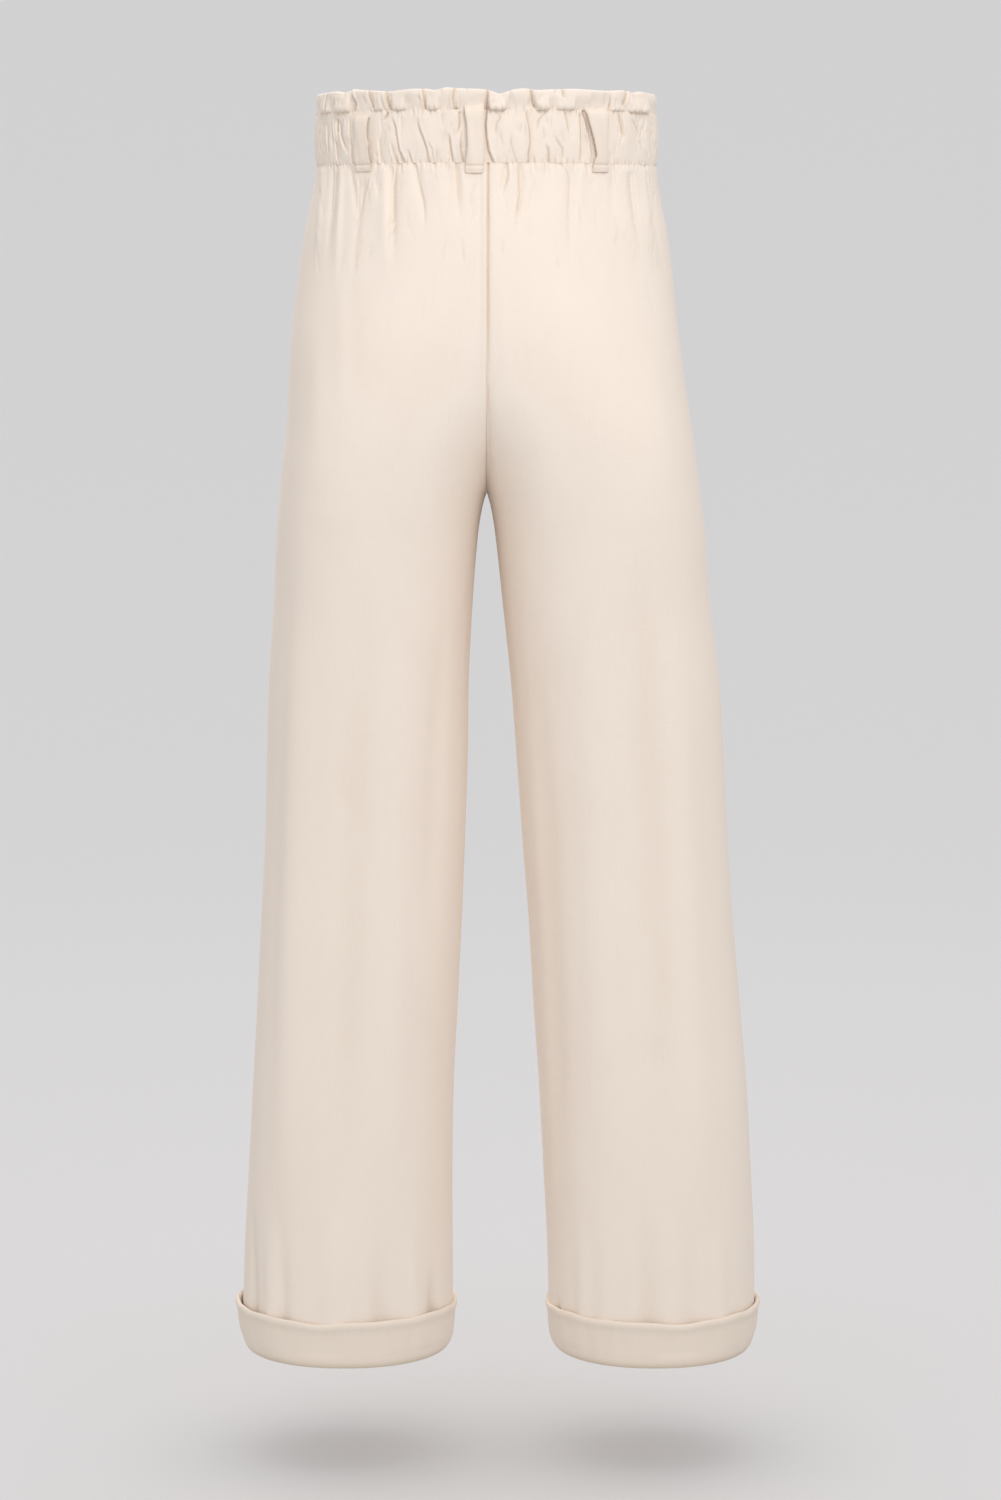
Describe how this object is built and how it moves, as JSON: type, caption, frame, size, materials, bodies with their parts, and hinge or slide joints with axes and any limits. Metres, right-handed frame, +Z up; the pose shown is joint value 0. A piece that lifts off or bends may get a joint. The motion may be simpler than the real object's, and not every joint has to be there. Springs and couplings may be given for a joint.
{
  "type": "paperbag waist trousers",
  "caption": "High-waist cotton twill trousers with a gathered paperbag frill over an elastic casing, belt loops, straight legs and turned-up cuffs, hollow as worn.",
  "frame": {"origin": "middle of the waist, half way up the elastic casing, where the wearer's waist holds the garment up", "axes": "+Z up, +Y towards the wearer's back, +X towards the wearer's left"},
  "size_m": [0.4323, 0.2196, 1.0101],
  "materials": {
    "panel": "cream cotton twill, matt, soft",
    "casing": "cream cotton twill gathered on elastic, matt",
    "trim": "cream cotton twill strip, topstitched, matt",
    "cuff": "cream cotton twill, turned up, matt"
  },
  "bodies": {
    "root": {"back_left": "panel", "back_right": "panel", "front_left": "panel", "front_right": "panel", "casing_back": "casing", "casing_front": "casing", "frill_back": "casing", "frill_front": "casing", "belt_loop_back_left": "trim", "belt_loop_back_centre": "trim", "belt_loop_back_right": "trim", "belt_loop_front_left": "trim", "belt_loop_front_right": "trim", "cuff_left": "cuff", "cuff_right": "cuff"}
  },
  "joints": []
}
